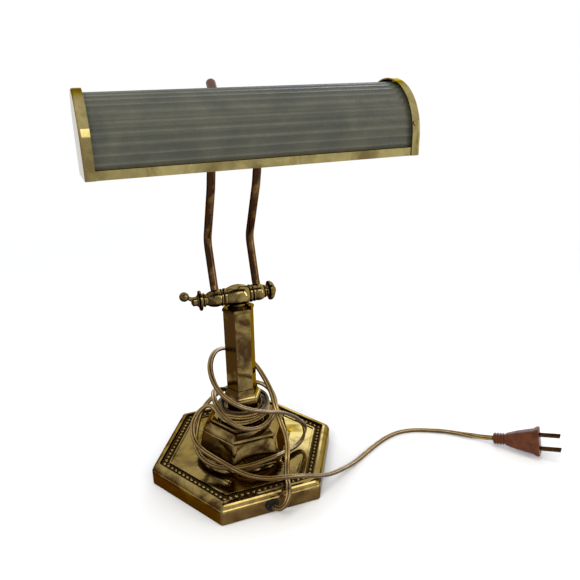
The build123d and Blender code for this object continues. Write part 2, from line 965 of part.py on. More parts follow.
for side, direction in (("left", -1), ("right", 1)):
    with BuildPart() as end_cap:
        cap_face = across_x(direction * rim_start, 0, 0)
        with BuildSketch(cap_face):
            with BuildLine():
                shade_arc(shade_radius, 90, -90)
                Polyline(
                    around(shade_radius, -90),
                    (shade_y + shade_radius, back_edge),
                    (shade_y - shade_radius, front_edge),
                    around(shade_radius, 90),
                )
            make_face()
        extrude(amount=direction * rim_width)
        with BuildSketch(cap_face):
            with BuildLine():
                shade_arc(rim_inner, 90, -90)
                Polyline(
                    around(rim_inner, -90),
                    (shade_y + rim_inner, below_rim),
                    (shade_y - rim_inner, below_rim),
                    around(rim_inner, 90),
                )
            make_face()
        extrude(amount=direction * (rim_width - cap_sheet), mode=Mode.SUBTRACT)
        end_face = end_cap.faces().filter_by(Axis.X).sort_by(Axis.X)[0 if direction < 0 else -1]
        rim_edges = end_face.edges().filter_by(GeomType.CIRCLE) + end_face.edges().filter_by(Axis.Z)
        fillet(rim_edges, rim_rounding)
    finish(end_cap, side + "_end_cap")

rivet_radius = rivet_diameter / 2
rivet_seat = (rim_width - rim_rounding) / 2
rivet_lean = degrees(acos(rivet_rise / shade_radius))

with BuildPart() as cap_rivets:
    for direction in (-1, 1):
        for lean in (rivet_lean, -rivet_lean):
            head = (direction * (rim_start + rivet_seat), *around(shade_radius, lean))
            out = (0, -sin(radians(lean)), cos(radians(lean)))
            with BuildSketch(Plane(head, x_dir=(1, 0, 0), z_dir=out)):
                Circle(rivet_radius)
            extrude(amount=rivet_proud)
finish(cap_rivets, "cap_rivets")

# Strap on the back shell with two lugs that the cross rod passes through
wall_back = shade_y + shell_outer
lug_inner = lug_reach - lug_thickness
lug_radius = eye_radius - 0.4
strap_low = back_edge + 2.0
strap_high = shade_height - 0.5

with BuildPart() as shade_bracket:
    with BuildSketch(Plane.YZ):
        with BuildLine():
            Polyline(
                (wall_back, strap_low),
                (wall_back + bracket_sheet, strap_low),
                (wall_back + bracket_sheet, strap_high),
                (wall_back, strap_high),
                close=True,
            )
        make_face()
    extrude(amount=lug_reach, both=True)
    for lug_x in (-lug_reach, lug_inner):
        with BuildSketch(across_x(lug_x, 0, 0)):
            with Locations((tilt_y, tilt_height)):
                Circle(lug_radius)
            with BuildLine():
                Polyline(
                    (wall_back, strap_low + 3),
                    (tilt_y, tilt_height - lug_radius),
                    (tilt_y, strap_high),
                    (wall_back, strap_high),
                    close=True,
                )
            make_face()
        extrude(amount=lug_thickness)
    cross_bore(tilt_y, tilt_height, rod_radius + running, -lug_reach, lug_reach)
    with BuildSketch(strap_rivet_plane(wall_back)):
        with Locations((-strap_rivet_x, 0), (strap_rivet_x, 0)):
            Circle(strap_rivet_radius + fit)
    extrude(amount=bracket_sheet, mode=Mode.SUBTRACT)
finish(shade_bracket, "shade_bracket")

wall_inside = wall_back - shell_sheet
strap_back = wall_back + bracket_sheet

with BuildPart() as strap_rivets:
    for start, radius, length in (
        (strap_back, strap_head_radius, 1.2),
        (wall_inside, strap_rivet_radius, strap_back - wall_inside),
        (wall_inside - 1.0, strap_head_radius, 1.0),
    ):
        with BuildSketch(strap_rivet_plane(start)):
            with Locations((-strap_rivet_x, 0), (strap_rivet_x, 0)):
                Circle(radius)
        extrude(amount=length)
finish(strap_rivets, "strap_rivets")

# ---- Lamp holder and lamp -----------------------------------------------------------

holder_end = holder_start + holder_length
cap_start = holder_start + holder_wall + 6.0
glass_start = cap_start + screw_cap_length
bore_radius = screw_cap_radius + contact_sheet + 0.5

with BuildPart() as lamp_holder:
    with BuildSketch(lamp_plane):
        with BuildLine():
            Polyline(
                (holder_start, 0),
                (holder_start, holder_radius - 3),
                (holder_start + 3, holder_radius),
                (holder_end - 1, holder_radius),
                (holder_end, holder_radius - 1),
                (holder_end, bore_radius),
                (holder_start + holder_wall, bore_radius),
                (holder_start + holder_wall, 0),
                close=True,
            )
        make_face()
    revolve(axis=lamp_axis)
finish(lamp_holder, "lamp_holder")

with BuildPart() as holder_contact:
    with BuildSketch(lamp_plane):
        with BuildLine():
            Polyline(
                (holder_start + holder_wall, 0),
                (holder_start + holder_wall, bore_radius),
                (holder_end - 3, bore_radius),
                (holder_end - 3, bore_radius - contact_sheet),
                (holder_start + holder_wall + contact_sheet, bore_radius - contact_sheet),
                (holder_start + holder_wall + contact_sheet, 4),
                (cap_start - contact_reach, 3),
                (cap_start - contact_reach, 0),
                close=True,
            )
        make_face()
    revolve(axis=lamp_axis)
finish(holder_contact, "holder_contact")

with BuildPart() as lamp_cap:
    with BuildSketch(lamp_plane):
        with BuildLine():
            Polyline(
                (cap_start - contact_reach, 0),
                (cap_start - contact_reach, 4),
                (cap_start + 2, 8),
                (cap_start + 3, screw_cap_radius),
                (glass_start, screw_cap_radius),
                (glass_start, 0),
                close=True,
            )
        make_face()
    revolve(axis=lamp_axis)
finish(lamp_cap, "lamp_cap")

glass_end = glass_start + glass_length

with BuildPart() as lamp_glass:
    for inset, mode in ((0, Mode.ADD), (glass_wall, Mode.SUBTRACT)):
        radius = glass_radius - inset
        with BuildSketch(lamp_plane):
            with BuildLine():
                Polyline(
                    (glass_start + inset, 0),
                    (glass_start + inset, screw_cap_radius - 0.6 - inset),
                    (holder_end + 0.5, screw_cap_radius - inset),
                    (holder_end + 4.0, radius),
                    (glass_end - glass_radius, radius),
                )
                ThreePointArc(
                    (glass_end - glass_radius, radius),
                    (glass_end - glass_radius + radius * sin(radians(45)), radius * cos(radians(45))),
                    (glass_end - inset, 0),
                )
                Line((glass_end - inset, 0), (glass_start + inset, 0))
            make_face()
        revolve(axis=lamp_axis, mode=mode)
finish(lamp_glass, "lamp_glass")

# Angle that hangs the holder's closed end from the left end cap
foot_face = -half_length + cap_sheet
hanger_low = lamp_height - hanger_bottom
hanger_high = lamp_height + hanger_top

with BuildPart() as holder_bracket:
    bracket_plane = Plane((0, lamp_y, 0), x_dir=(1, 0, 0), z_dir=(0, -1, 0))
    with BuildSketch(bracket_plane):
        with BuildLine():
            Polyline(
                (foot_face, hanger_low),
                (foot_face, hanger_high),
                (holder_start, hanger_high),
                (holder_start, hanger_low),
                (holder_start - bracket_sheet, hanger_low),
                (holder_start - bracket_sheet, hanger_high - bracket_sheet),
                (foot_face + bracket_sheet, hanger_high - bracket_sheet),
                (foot_face + bracket_sheet, hanger_low),
                close=True,
            )
        make_face()
    extrude(amount=hanger_width / 2, both=True)
finish(holder_bracket, "holder_bracket")

# ---- Switch -------------------------------------------------------------------------

switch_top = sqrt(shell_inner**2 - switch_radius**2) - gap

with BuildPart() as switch_body:
    with BuildSketch(switch_plane(switch_top - switch_length)):
        Circle(switch_radius)
    extrude(amount=switch_length)
    with BuildSketch(switch_plane(switch_top)):
        Circle(bushing_radius)
    extrude(amount=shell_outer + bushing_proud - switch_top)
    with BuildSketch(switch_plane(switch_top - spindle_seat)):
        Circle(spindle_radius + running)
    extrude(amount=switch_length, mode=Mode.SUBTRACT)
finish(switch_body, "switch_body")

with BuildPart() as switch_nut:
    with BuildSketch(switch_plane(shell_outer + fit)):
        RegularPolygon(switch_nut_flats / 2, 6, major_radius=False)
        Circle(bushing_radius + fit, mode=Mode.SUBTRACT)
    extrude(amount=switch_nut_thickness)
finish(switch_nut, "switch_nut")

knob_start = shell_outer + bushing_proud + gap

with BuildPart() as switch_knob:
    with BuildSketch(switch_plane(knob_start)):
        Circle(knob_radius)
    extrude(amount=knob_tip - knob_start)
    fillet(faces().sort_by(SortBy.DISTANCE)[-1].edges(), knob_radius * 0.75)
    with BuildSketch(switch_plane(switch_top - spindle_seat + gap)):
        Circle(spindle_radius)
    extrude(amount=knob_start + 1 - (switch_top - spindle_seat + gap))
finish(switch_knob, "switch_knob")

wire_radius = 1.3
wire_reach = switch_top - switch_length / 2
wire_start = (
    switch_x - switch_radius,
    shade_y + wire_reach * switch_way[1],
    shade_height + wire_reach * switch_way[2],
)
wire_end_x = holder_start + holder_length / 2
holder_lean = atan2(wire_start[1] - lamp_y, wire_start[2] - lamp_height)
wire_seat = holder_radius + 0.1

with BuildPart() as shade_wire:
    with BuildLine():
        FilletPolyline(
            wire_start,
            (wire_end_x, wire_start[1], wire_start[2]),
            (
                wire_end_x,
                lamp_y + wire_seat * sin(holder_lean),
                lamp_height + wire_seat * cos(holder_lean),
            ),
            radius=6,
        )
    with BuildSketch(Plane(wire_start, z_dir=(-1, 0, 0))):
        Circle(wire_radius)
    sweep()
finish(shade_wire, "shade_wire")

# ---- Cord ---------------------------------------------------------------------------

# From the grommet over the base's front edge, up behind the column, round the foot in a
# wide loop and a second, closer one, and into the winding on the neck
lead_route = [
    (0, grommet_face, grommet_height),
    (2.2, -79.5, 8.8),
    (6.6, -82.5, 13.6),
    (10.4, -81, 19.6),
    (12.6, -75.5, 23.4),
    (14.6, -67.5, 23),
    (18, -56.5, 21.5),
    (22.5, -45.5, 23.5),
    (26, -38.5, 33),
    (25, -36, 45),
    (21.5, -34, 56.5),
    (20, -27.5, 67.5),
    (20.5, -16, 76),
    (18.5, -3, 83.5),
    (15, 9, 90.5),
    (6, 17.5, 98.5),
    (-5.5, 18.5, 105),
    (-16.5, 12.5, 108.5),
    (-24, 1.5, 108.5),
    (-28.5, -9, 105),
    (-29.5, -20, 99),
    (-26.5, -29, 92),
    (-18.5, -36, 84.5),
    (-7, -41, 78.5),
    (8, -43.5, 74.5),
    (22.5, -39, 68),
    (35, -31, 56.5),
    (43.5, -24, 45),
    (49.3, -19, 36.5),
    (50.2, -18, 29.3),
    (47, -19.6, 23),
    (40.2, -23.4, 20.8),
    (31, -29, 22.5),
    (18.5, -37.5, 26.5),
    (4, -41.5, 27.5),
    (-10, -42.5, 27),
    (-23, -36, 23.5),
    (-34.5, -26, 22.3),
    (-41.5, -13, 23),
    (-43.5, 1, 26),
    (-40, 13, 32.5),
    (-35, 19.5, 42),
    (-29, 22.5, 50.5),
    (-19, 25.5, 57),
    (-6, 28, 61.5),
    (8.5, 26, 65),
    (20.5, 18, 66.5),
    (27, 5.5, 65),
    (26.5, -9, 61),
    (21, -22, 57.5),
    (11, -31.5, 55),
    (-1, -36, 55.5),
    (-12, -35.5, 59),
    (-20.5, -30, 64.5),
    (-26, -20.5, 71),
    (-27, -8, 75.5),
    (-23.5, 4.5, 75),
    (-15.5, 15, 70),
    (-5.5, 19.5, 62),
]

# From the winding down over the base's front edge and along the floor to the plug
run_route = [
    (-12, 9.5, 57.5),
    (-23.5, 11.5, 56.5),
    (-36, 9, 53.5),
    (-44.5, 2.5, 47.5),
    (-46, -6.5, 39.5),
    (-42, -16, 34.5),
    (-34, -26.5, 31.5),
    (-26.5, -38, 30),
    (-20, -48.5, 29),
    (-12, -58.5, 29),
    (-2, -67, 30.5),
    (8.5, -72, 32.2),
    (21, -73.5, 31),
    (32.5, -72, 26.5),
    (44, -67, 19.5),
    (57, -59.5, 12),
    (71.5, -50.5, 6.5),
    (88, -41.5, 2.8),
    (108, -30, 2.2),
    (127, -20.5, 2.2),
    (145, -15.5, 2.2),
    (161, -17.5, 2.2),
    (175.5, -24.5, 2.2),
    (189, -32.5, 2.2),
    (200.5, -43.5, 2.8),
    (210.6, -54.4, 4.2),
    plug_start,
]


def bend_radii(route):
    """Largest even arc at each corner of a route: 0.45 of the shorter run over tan(half turn)."""
    radii = []
    for before, corner, after in zip(route, route[1:], route[2:]):
        run_in = Vector(*corner) - Vector(*before)
        run_out = Vector(*after) - Vector(*corner)
        half_turn = radians(run_in.get_angle(run_out) / 2)
        radii.append(0.45 * min(run_in.length, run_out.length) / tan(half_turn))
    return radii


for label, route in (("cord_lead", lead_route), ("cord_run", run_route)):
    radii = bend_radii(route)
    heading = Vector(*route[1]) - Vector(*route[0])
    with BuildPart() as cord:
        with BuildLine() as line:
            FilletPolyline(*route, radius=radii)
        with BuildSketch(Plane(route[0], z_dir=heading)):
            Circle(cord_diameter / 2)
        sweep()
    path_length = sum(edge.length for edge in line.edges())
    section = pi * (cord_diameter / 2) ** 2
    volume_ratio = cord.part.volume / section / path_length
    print(label, "length", round(path_length), "volume ratio", round(volume_ratio, 4))
    print("bend radii", [round(radius, 1) for radius in radii])
    finish(cord, label)

with BuildPart() as cord_winding:
    with BuildSketch(Plane.XZ):
        with BuildLine():
            Polyline(
                (winding_inner, winding_bottom),
                (winding_outer - 3, winding_bottom),
                (winding_outer, winding_bottom + 4),
                (winding_outer, winding_top - 4),
                (winding_outer - 3, winding_top),
                (winding_inner, winding_top),
                close=True,
            )
        make_face()
    revolve(axis=Axis.Z)
finish(cord_winding, "cord_winding")

# ---- Plug ---------------------------------------------------------------------------

heading_angle = radians(plug_heading)
rise_angle = radians(plug_rise)
plug_axis = Vector(
    cos(heading_angle) * cos(rise_angle), sin(heading_angle) * cos(rise_angle), sin(rise_angle)
)
level = Vector(-sin(heading_angle), cos(heading_angle), 0)
plug_up = plug_axis.cross(level)
wide_way = plug_up * cos(radians(plug_roll)) + level * sin(radians(plug_roll))
plug_plane = Plane(plug_start, x_dir=wide_way, z_dir=plug_axis)

with BuildPart() as plug_body:
    with BuildSketch(plug_plane):
        RectangleRounded(*plug_narrow, plug_rounding)
    with BuildSketch(plug_plane.offset(plug_length * 0.3)):
        RectangleRounded(plug_narrow[0] + 1.0, plug_narrow[1] + 0.6, plug_rounding)
    with BuildSketch(plug_plane.offset(plug_length - flange_thickness)):
        RectangleRounded(*plug_wide, plug_rounding)
    loft(ruled=True)
    with BuildSketch(plug_plane.offset(plug_length - flange_thickness)):
        RectangleRounded(*plug_flange, plug_rounding)
    extrude(amount=flange_thickness)
    for blade_side in (-1, 1):
        with BuildSketch(plug_plane.offset(plug_length)):
            with Locations((blade_side * blade_spacing / 2, 0)):
                Rectangle(blade_thickness, blade_width)
        extrude(amount=-blade_root, mode=Mode.SUBTRACT)
finish(plug_body, "plug_body")

with BuildPart() as plug_blades:
    for blade_side in (-1, 1):
        with BuildSketch(plug_plane.offset(plug_length - blade_root)):
            with Locations((blade_side * blade_spacing / 2, 0)):
                Rectangle(blade_thickness, blade_width)
        extrude(amount=blade_root + blade_length)
finish(plug_blades, "plug_blades")
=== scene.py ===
"""Brass piano lamp: finishes, cord, plug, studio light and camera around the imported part."""

# %% [markdown]
# The part and its record are read in, and each mesh is set in its world place without a parent.

# %% Load the part
import json
from math import cos, radians, sin, tau

import bmesh
import bpy
import numpy as np
from mathutils import Matrix, Vector


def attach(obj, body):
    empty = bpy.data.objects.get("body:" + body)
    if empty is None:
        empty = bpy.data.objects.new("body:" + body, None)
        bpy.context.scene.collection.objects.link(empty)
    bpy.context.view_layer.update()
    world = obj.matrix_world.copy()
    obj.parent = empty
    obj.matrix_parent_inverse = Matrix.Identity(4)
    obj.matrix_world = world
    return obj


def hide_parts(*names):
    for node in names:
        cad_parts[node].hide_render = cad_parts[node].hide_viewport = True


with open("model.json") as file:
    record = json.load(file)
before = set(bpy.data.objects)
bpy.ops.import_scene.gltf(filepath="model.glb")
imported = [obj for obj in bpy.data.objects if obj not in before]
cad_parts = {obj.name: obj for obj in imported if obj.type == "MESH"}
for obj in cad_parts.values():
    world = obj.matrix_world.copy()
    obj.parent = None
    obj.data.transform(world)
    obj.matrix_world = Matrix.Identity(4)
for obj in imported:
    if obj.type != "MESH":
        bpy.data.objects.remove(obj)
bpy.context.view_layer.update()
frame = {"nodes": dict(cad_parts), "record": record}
nodes = frame["nodes"]

# %% [markdown]
# Every finish is one Principled shader. A node group turns noise in the piece's own
# coordinates into masks, so that tarnish, dust and, on the brass, painted reflection never look printed
# on.

# %% Shared masks
MM = 0.001


def wear_group():
    """Noise masks: broad cloudiness, fine specks and a small bump."""
    group = bpy.data.node_groups.new("wear masks", "ShaderNodeTree")
    for name, kind in (
        ("Scale", "NodeSocketFloat"),
        ("Bump", "NodeSocketFloat"),
    ):
        group.interface.new_socket(name, in_out="INPUT", socket_type=kind)
    for name, kind in (
        ("Cloud", "NodeSocketFloat"),
        ("Speck", "NodeSocketFloat"),
        ("Normal", "NodeSocketVector"),
    ):
        group.interface.new_socket(name, in_out="OUTPUT", socket_type=kind)
    n, link = group.nodes, group.links.new
    given = n.new("NodeGroupInput")
    out = n.new("NodeGroupOutput")
    place = n.new("ShaderNodeTexCoord")
    cloud = n.new("ShaderNodeTexNoise")
    cloud.inputs["Detail"].default_value = 5
    cloud.inputs["Roughness"].default_value = 0.6
    cloud.inputs["Distortion"].default_value = 0.6
    fine_scale = n.new("ShaderNodeMath")
    fine_scale.operation = "MULTIPLY"
    fine_scale.inputs[1].default_value = 9
    speck = n.new("ShaderNodeTexNoise")
    speck.inputs["Detail"].default_value = 8
    speck.inputs["Roughness"].default_value = 0.75
    bump = n.new("ShaderNodeBump")
    bump.inputs["Distance"].default_value = 0.0002
    link(place.outputs["Object"], cloud.inputs["Vector"])
    link(place.outputs["Object"], speck.inputs["Vector"])
    link(given.outputs["Scale"], cloud.inputs["Scale"])
    link(given.outputs["Scale"], fine_scale.inputs[0])
    link(fine_scale.outputs[0], speck.inputs["Scale"])
    link(cloud.outputs["Fac"], bump.inputs["Height"])
    link(given.outputs["Bump"], bump.inputs["Strength"])
    for mask, name in ((cloud, "Cloud"), (speck, "Speck")):
        spread = n.new("ShaderNodeMapRange")
        spread.inputs["From Min"].default_value = 0.36
        spread.inputs["From Max"].default_value = 0.66
        link(mask.outputs["Fac"], spread.inputs["Value"])
        link(spread.outputs["Result"], out.inputs[name])
    link(bump.outputs["Normal"], out.inputs["Normal"])
    return group


WEAR = wear_group()


def six_sided_group():
    """Distance from the upright axis to the flat sides of a hexagon, in metres."""
    group = bpy.data.node_groups.new("six sided distance", "ShaderNodeTree")
    for name in ("Distance", "Height"):
        group.interface.new_socket(name, in_out="OUTPUT", socket_type="NodeSocketFloat")
    n, link = group.nodes, group.links.new
    out = n.new("NodeGroupOutput")
    place = n.new("ShaderNodeTexCoord")
    farthest = None
    for bearing in (30, 90, 150):
        side = n.new("ShaderNodeVectorMath")
        side.operation = "DOT_PRODUCT"
        side.inputs[1].default_value = (cos(radians(bearing)), sin(radians(bearing)), 0)
        link(place.outputs["Object"], side.inputs[0])
        size = n.new("ShaderNodeMath")
        size.operation = "ABSOLUTE"
        link(side.outputs["Value"], size.inputs[0])
        if farthest is None:
            farthest = size
            continue
        larger = n.new("ShaderNodeMath")
        larger.operation = "MAXIMUM"
        link(farthest.outputs[0], larger.inputs[0])
        link(size.outputs[0], larger.inputs[1])
        farthest = larger
    split = n.new("ShaderNodeSeparateXYZ")
    link(place.outputs["Object"], split.inputs[0])
    link(farthest.outputs[0], out.inputs["Distance"])
    link(split.outputs["Z"], out.inputs["Height"])
    return group


SIX_SIDED = six_sided_group()


# Sides of the brass that face this way, left and down, are painted darker as shade.
SHADED_SIDE = (-0.86, 0.0, -0.50)
EDGE_TINT = (0.38, 0.29, 0.14, 1)


def finish_material(name, clean, worn, rough, scale=40, bump=0.1, speck=0.3, side_shade=0.0, **settings):
    """Principled finish that wanders between a clean and a worn colour.

    A shade weight above 0 paints shade: sides that face left or down are mixed further toward the worn
    colour.
    """
    material = bpy.data.materials.new(name)
    material.use_nodes = True
    n, link = material.node_tree.nodes, material.node_tree.links.new
    shader = n["Principled BSDF"]
    masks = n.new("ShaderNodeGroup")
    masks.node_tree = WEAR
    masks.inputs["Scale"].default_value = scale
    masks.inputs["Bump"].default_value = bump
    grain = n.new("ShaderNodeMath")
    grain.operation = "MULTIPLY_ADD"
    grain.inputs[1].default_value = speck
    link(masks.outputs["Speck"], grain.inputs[0])
    link(masks.outputs["Cloud"], grain.inputs[2])
    wear = grain.outputs[0]
    # Painted shade from the side's direction, added to the wear mask.
    if side_shade:
        place = n.new("ShaderNodeTexCoord")
        facing = n.new("ShaderNodeVectorMath")
        facing.operation = "DOT_PRODUCT"
        facing.inputs[1].default_value = SHADED_SIDE
        link(place.outputs["Normal"], facing.inputs[0])
        added = n.new("ShaderNodeMath")
        added.operation = "MULTIPLY_ADD"
        added.inputs[1].default_value = side_shade
        link(facing.outputs["Value"], added.inputs[0])
        link(wear, added.inputs[2])
        wear = added.outputs[0]
    colour = n.new("ShaderNodeMix")
    colour.data_type = "RGBA"
    colour.inputs["A"].default_value = (*clean, 1)
    colour.inputs["B"].default_value = (*worn, 1)
    link(wear, colour.inputs["Factor"])
    sheen = n.new("ShaderNodeMapRange")
    sheen.inputs["To Min"].default_value = rough[0]
    sheen.inputs["To Max"].default_value = rough[1]
    link(wear, sheen.inputs["Value"])
    link(colour.outputs["Result"], shader.inputs["Base Color"])
    link(sheen.outputs["Result"], shader.inputs["Roughness"])
    link(masks.outputs["Normal"], shader.inputs["Normal"])
    for socket, value in settings.items():
        shader.inputs[socket.replace("_", " ")].default_value = value
    return material


print("mask groups", WEAR.name, SIX_SIDED.name)

# %% [markdown]
# The brass is old, dark and unlacquered. Its dark colours and dark clouds are partly that tarnish
# and partly painted reflection of darker surroundings, because polished metal mirrors the white
# background here; a finish that is dark by itself also looks right in other light. Sides that face
# left or down are painted darker as shade, the arms are painted browner as a painted reflection,
# and the turned pieces are duller. The fluted panel is a satin olive grey.

# %% Materials
brass = finish_material(
    "aged brass", (0.31, 0.225, 0.080), (0.050, 0.026, 0.010), (0.06, 0.18), scale=45, bump=0.05,
    speck=0.15, side_shade=0.8, Metallic=1.0, Specular_Tint=EDGE_TINT,
)
polished_brass = finish_material(
    "polished brass", (0.40, 0.33, 0.135), (0.17, 0.130, 0.050), (0.03, 0.08), scale=45, bump=0.01,
    speck=0.15, side_shade=0.5, Metallic=1.0, Specular_Tint=EDGE_TINT,
)
# The arms' browner colour is a painted reflection of brown surroundings.
reflection_brown_brass = finish_material(
    "brown brass", (0.19, 0.105, 0.040), (0.030, 0.014, 0.007), (0.06, 0.16), scale=60, bump=0.05,
    side_shade=0.8, Metallic=1.0, Specular_Tint=EDGE_TINT,
)
tarnished_brass = finish_material(
    "tarnished brass", (0.26, 0.19, 0.068), (0.030, 0.019, 0.008), (0.08, 0.20), scale=70, bump=0.08,
    side_shade=0.9, Metallic=1.0, Specular_Tint=EDGE_TINT,
)
panel = finish_material(
    "olive grey panel", (0.072, 0.072, 0.050), (0.046, 0.048, 0.036), (0.24, 0.34), scale=30, bump=0.03,
    Specular_IOR_Level=0.3,
)
iron = finish_material(
    "cast iron", (0.05, 0.05, 0.05), (0.09, 0.06, 0.05), (0.6, 0.8), bump=0.4, Metallic=0.7
)
felt = finish_material(
    "green felt", (0.02, 0.07, 0.03), (0.03, 0.09, 0.04), (0.9, 1.0), scale=300, bump=0.6
)
grommet = finish_material(
    "black grommet", (0.006, 0.006, 0.006), (0.015, 0.014, 0.012), (0.6, 0.8), Specular_IOR_Level=0.1
)
blades = finish_material(
    "tarnished blades", (0.060, 0.045, 0.030), (0.030, 0.020, 0.014), (0.25, 0.45),
    Metallic=1.0, Specular_Tint=EDGE_TINT,
)
lamp_cap = finish_material(
    "rolled aluminium", (0.72, 0.72, 0.71), (0.6, 0.6, 0.58), (0.2, 0.35), Metallic=1.0
)
glass = finish_material(
    "lamp glass", (0.97, 0.96, 0.93), (0.93, 0.92, 0.88), (0.02, 0.06),
    Transmission_Weight=1.0, IOR=1.45,
)
knob = finish_material(
    "dark brown knob", (0.055, 0.022, 0.012), (0.095, 0.040, 0.022), (0.3, 0.45), scale=200
)
cord_skin = finish_material(
    "clear gold cord", (0.55, 0.38, 0.12), (0.34, 0.21, 0.06), (0.20, 0.32), scale=160, bump=0.2,
    Coat_Weight=0.12, Coat_Roughness=0.1, Metallic=0.7,
)
plug_skin = finish_material(
    "amber plug", (0.150, 0.036, 0.003), (0.065, 0.014, 0.002), (0.22, 0.36), scale=170, bump=0.3,
    Transmission_Weight=0.12, IOR=1.5, Specular_IOR_Level=0.2,
)
materials = {
    "polished_brass": brass,
    "panel": panel,
    "iron": iron,
    "steel": finish_material("steel", (0.5, 0.5, 0.48), (0.35, 0.32, 0.28), (0.25, 0.45), Metallic=1.0),
    "felt": felt,
    "grommet": grommet,
    "wire": finish_material("ivory wire", (0.75, 0.72, 0.62), (0.6, 0.55, 0.45), (0.35, 0.5)),
    "blades": blades,
    "shell_inside": finish_material("rail", (0.6, 0.58, 0.52), (0.5, 0.47, 0.4), (0.4, 0.5)),
    "holder": finish_material("brown phenolic", (0.03, 0.02, 0.015), (0.05, 0.035, 0.025), (0.3, 0.45)),
    "lamp_cap": lamp_cap,
    "glass": glass,
    "black": finish_material("black switch", (0.02, 0.02, 0.02), (0.035, 0.035, 0.035), (0.35, 0.5)),
    "knob": knob,
    "cord": cord_skin,
    "plug": plug_skin,
}

slots = {item["node"]: item["material_slot"] for item in frame["record"]["subparts"]}
own_finish = {"left_arm": reflection_brown_brass, "right_arm": reflection_brown_brass}
for name in ("front_strip", "left_end_cap", "right_end_cap", "cap_rivets"):
    own_finish[name] = polished_brass
for name in (
    "pivot_body", "pivot_bolt", "left_knuckle", "right_knuckle", "clamp_disc", "clamp_lever",
    "lever_ball", "left_eye", "right_eye", "rod_nuts", "cross_rod", "column_cap",
):
    own_finish[name] = tarnished_brass
for name, node in nodes.items():
    node.data.materials.clear()
    node.data.materials.append(own_finish.get(name, materials[slots[name]]))
print("finishes", len(materials))

# %% [markdown]
# The cord's insulation is clear gold plastic over two bundles of copper strands, which show in
# the middle of each bundle. The groove and the edges are painted dark: partly the amber plastic
# with no copper beneath, partly painted shade. The cord's UV map says how far a point is across the
# cord, from 0 to 1, and how far along it, in metres.

# %% Strands in the cord
n, link = cord_skin.node_tree.nodes, cord_skin.node_tree.links.new
shader = n["Principled BSDF"]
around_cord = n.new("ShaderNodeUVMap")
around_cord.uv_map = "cord"
split = n.new("ShaderNodeSeparateXYZ")
link(around_cord.outputs["UV"], split.inputs[0])
bundle = n.new("ShaderNodeMath")
bundle.operation = "PINGPONG"
bundle.inputs[1].default_value = 0.5
off_middle = n.new("ShaderNodeMath")
off_middle.operation = "SUBTRACT"
off_middle.inputs[1].default_value = 0.25
off_size = n.new("ShaderNodeMath")
off_size.operation = "ABSOLUTE"
link(split.outputs["X"], bundle.inputs[0])
link(bundle.outputs[0], off_middle.inputs[0])
link(off_middle.outputs[0], off_size.inputs[0])
# Painted shade: the groove and the edges of each bundle are mixed toward a dark brown.
edge_shade = n.new("ShaderNodeMapRange")
edge_shade.interpolation_type = "SMOOTHSTEP"
edge_shade.inputs["From Min"].default_value = 0.06
edge_shade.inputs["From Max"].default_value = 0.17
link(off_size.outputs[0], edge_shade.inputs["Value"])
twist = n.new("ShaderNodeTexWave")
twist.bands_direction = "DIAGONAL"
twist.inputs["Scale"].default_value = 1.0
twist.inputs["Distortion"].default_value = 1.5
stretch = n.new("ShaderNodeMapping")
stretch.inputs["Scale"].default_value = (3, 330, 1)
link(around_cord.outputs["UV"], stretch.inputs["Vector"])
link(stretch.outputs["Vector"], twist.inputs["Vector"])
strands = n.new("ShaderNodeMix")
strands.data_type = "RGBA"
strands.blend_type = "MULTIPLY"
strands.inputs["Factor"].default_value = 0.35
link(shader.inputs["Base Color"].links[0].from_socket, strands.inputs["A"])
link(twist.outputs["Color"], strands.inputs["B"])
painted_edge_shade = n.new("ShaderNodeMix")
painted_edge_shade.data_type = "RGBA"
painted_edge_shade.inputs["B"].default_value = (0.075, 0.040, 0.012, 1)
link(edge_shade.outputs["Result"], painted_edge_shade.inputs["Factor"])
link(strands.outputs["Result"], painted_edge_shade.inputs["A"])
link(painted_edge_shade.outputs["Result"], shader.inputs["Base Color"])
print("cord finish", cord_skin.name)

# %% [markdown]
# The bottom of the channel that the beads stand in is painted nearly black as shade, so each
# bead shows as a bright dot. A copy of the brass gets this painted shade from the distance to the
# six sides and from the height. The lower skirt is painted browner as a painted reflection of a brown
# floor.

# %% Painted shade between the beads, painted reflection on the skirt
CHANNEL = (0.0583, 0.0643)
BEAD_FOOT = 0.0169
EDGE = 0.0003
# Heights, share and colour of the painted floor reflection on the lower skirt.
REFLECTION_HEIGHTS = (0.0130, 0.0105)
REFLECTION_SHARE = 0.7
PAINTED_REFLECTION_BROWN = (0.105, 0.056, 0.020, 1)


def ramp(n, link, value, start, end):
    """Mask that rises from 0 to 1 between two values."""
    spread = n.new("ShaderNodeMapRange")
    spread.inputs["From Min"].default_value = start
    spread.inputs["From Max"].default_value = end
    link(value, spread.inputs["Value"])
    return spread.outputs["Result"]


beaded_brass = brass.copy()
beaded_brass.name = "beaded brass"
n, link = beaded_brass.node_tree.nodes, beaded_brass.node_tree.links.new
shader = n["Principled BSDF"]
hexagon = n.new("ShaderNodeGroup")
hexagon.node_tree = SIX_SIDED
inside = ramp(n, link, hexagon.outputs["Distance"], CHANNEL[0] - EDGE, CHANNEL[0] + EDGE)
outside = ramp(n, link, hexagon.outputs["Distance"], CHANNEL[1] + EDGE, CHANNEL[1] - EDGE)
low = ramp(n, link, hexagon.outputs["Height"], BEAD_FOOT + EDGE, BEAD_FOOT - EDGE)
channel_shade = inside
for mask in (outside, low):
    both = n.new("ShaderNodeMath")
    both.operation = "MULTIPLY"
    link(channel_shade, both.inputs[0])
    link(mask, both.inputs[1])
    channel_shade = both.outputs[0]
